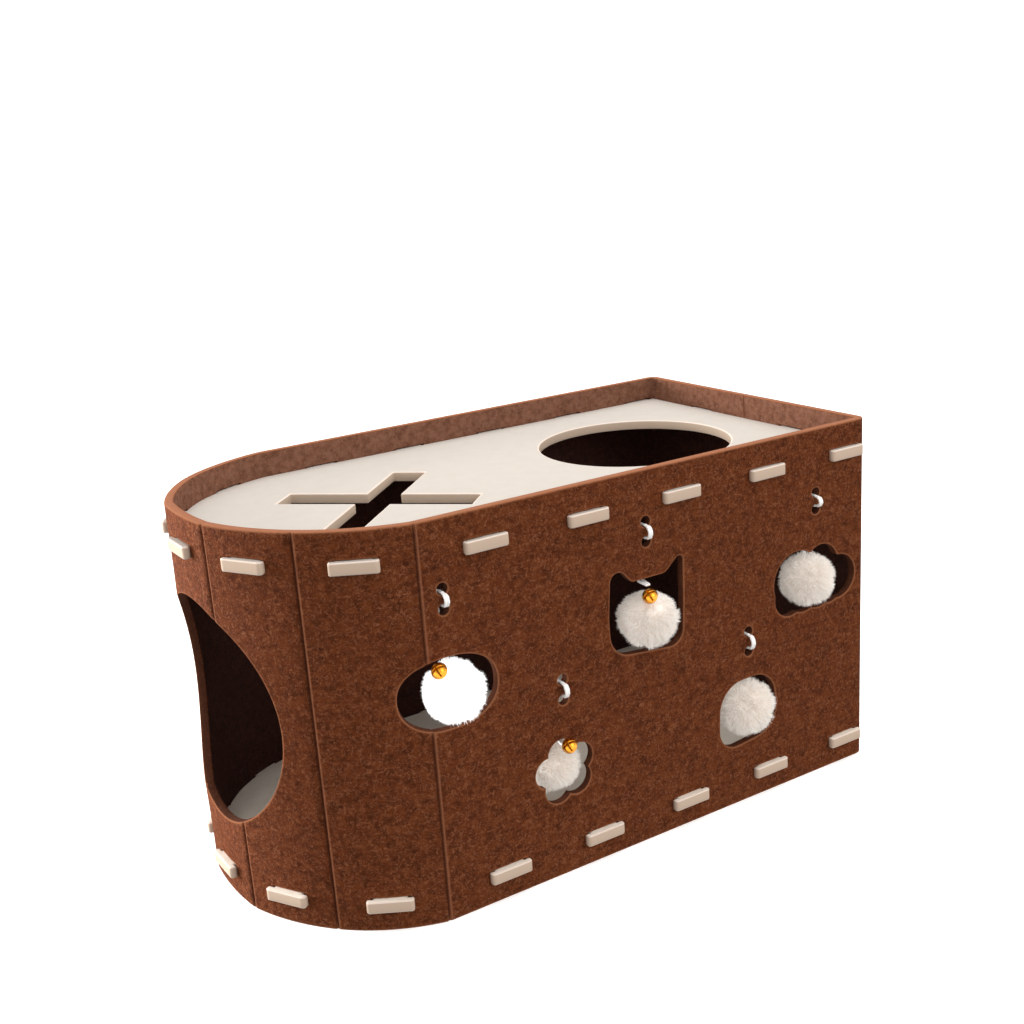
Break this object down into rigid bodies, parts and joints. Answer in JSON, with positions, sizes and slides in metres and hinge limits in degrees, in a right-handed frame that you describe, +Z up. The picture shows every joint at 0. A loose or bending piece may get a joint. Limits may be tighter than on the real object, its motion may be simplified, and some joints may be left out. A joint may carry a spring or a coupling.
{
  "type": "felt cat cave",
  "caption": "Cat cave of stiff felt: a strip bent to a rounded end round two tabbed panels, with a round doorway, roof holes and pompom toys in shaped cut-outs.",
  "frame": {"origin": "on the floor, under the middle of the wall and its panels' tabs", "axes": "+Z up, X along the cave with the rounded end and doorway at -X and the flat end at +X, the side with the cut-outs and toys at -Y"},
  "size_m": [0.5404, 0.3066, 0.3],
  "materials": {
    "wall_felt": "matte brown needled felt",
    "panel_felt": "matte cream needled felt",
    "pompom_fur": "fluffy off-white pile",
    "bell_brass": "polished",
    "cord_cotton": "matte cotton"
  },
  "bodies": {
    "root": {"wall": "wall_felt", "top_panel": "panel_felt", "bottom_panel": "panel_felt", "pompom_oval": "pompom_fur", "pompom_cat": "pompom_fur", "pompom_cloud": "pompom_fur", "pompom_egg": "pompom_fur", "pompom_flower": "pompom_fur", "bell_oval": "bell_brass", "bell_cat": "bell_brass", "bell_flower": "bell_brass", "cord_oval": "cord_cotton", "cord_cat": "cord_cotton", "cord_cloud": "cord_cotton", "cord_egg": "cord_cotton", "cord_flower": "cord_cotton"}
  },
  "joints": []
}
